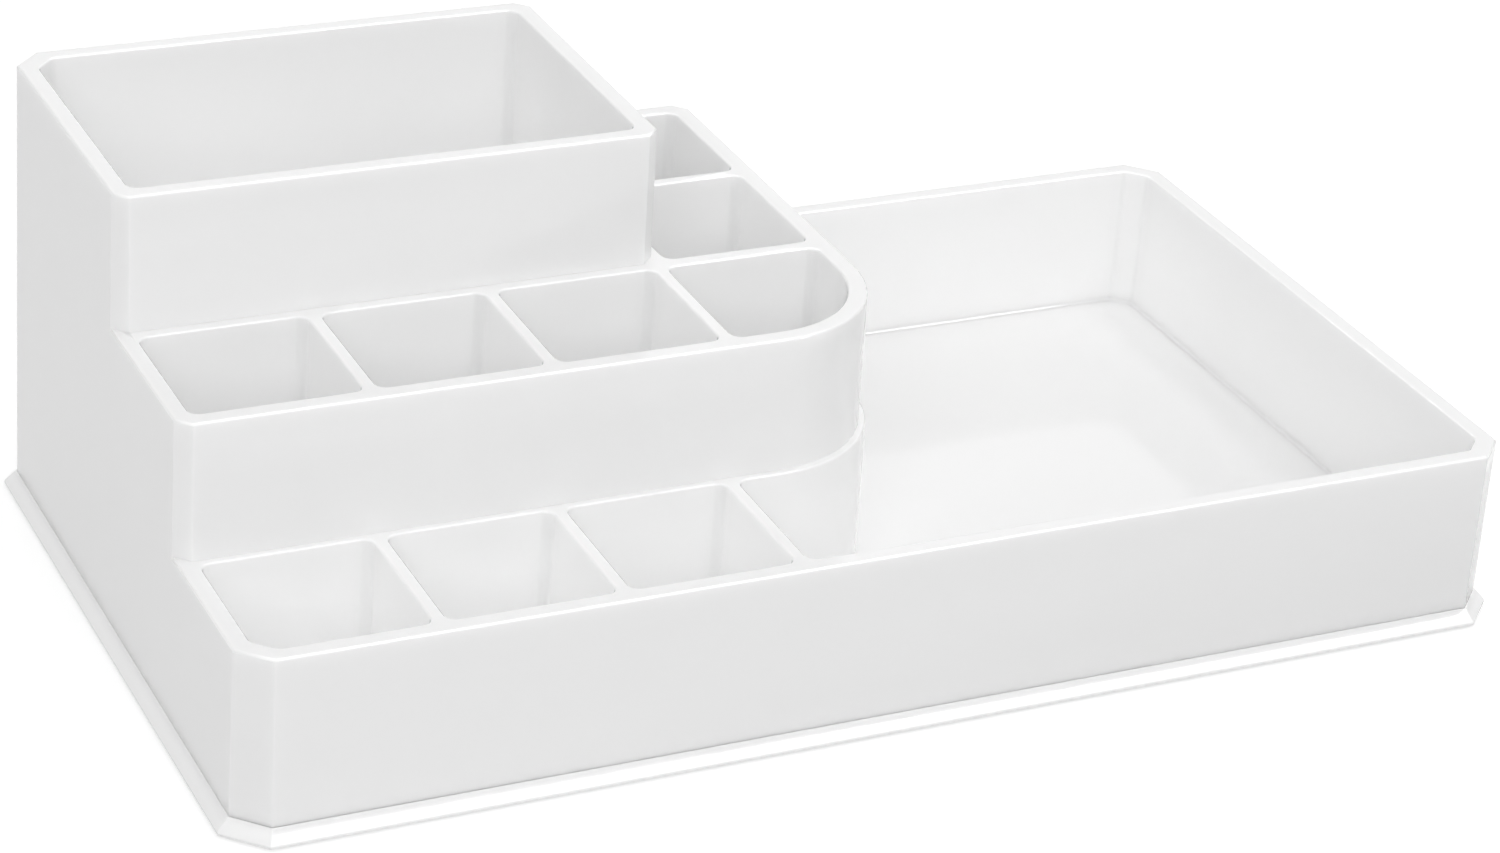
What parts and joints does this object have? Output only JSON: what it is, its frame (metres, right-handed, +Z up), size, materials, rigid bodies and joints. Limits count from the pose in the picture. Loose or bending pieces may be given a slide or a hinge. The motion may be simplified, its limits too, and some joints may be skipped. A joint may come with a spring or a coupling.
{
  "type": "makeup organizer",
  "caption": "Open-topped desk organizer for make-up: a tall bin, stepped rows of cells and a wide tray that wraps round a curved wall, on a flared base plate with rubber feet.",
  "frame": {"origin": "on the desk, under the middle of the base plate", "axes": "+X along the length, towards the tray; +Y from the low front to the tall back; +Z up"},
  "size_m": [0.2858, 0.1628, 0.0985],
  "materials": {
    "moulding": "high gloss white",
    "base": "high gloss white",
    "foot": "soft matt, pale grey"
  },
  "bodies": {
    "root": {"compartment_body": "moulding", "base_plate": "base", "foot_front_left": "foot", "foot_front_right": "foot", "foot_back_left": "foot", "foot_back_right": "foot"}
  },
  "joints": []
}
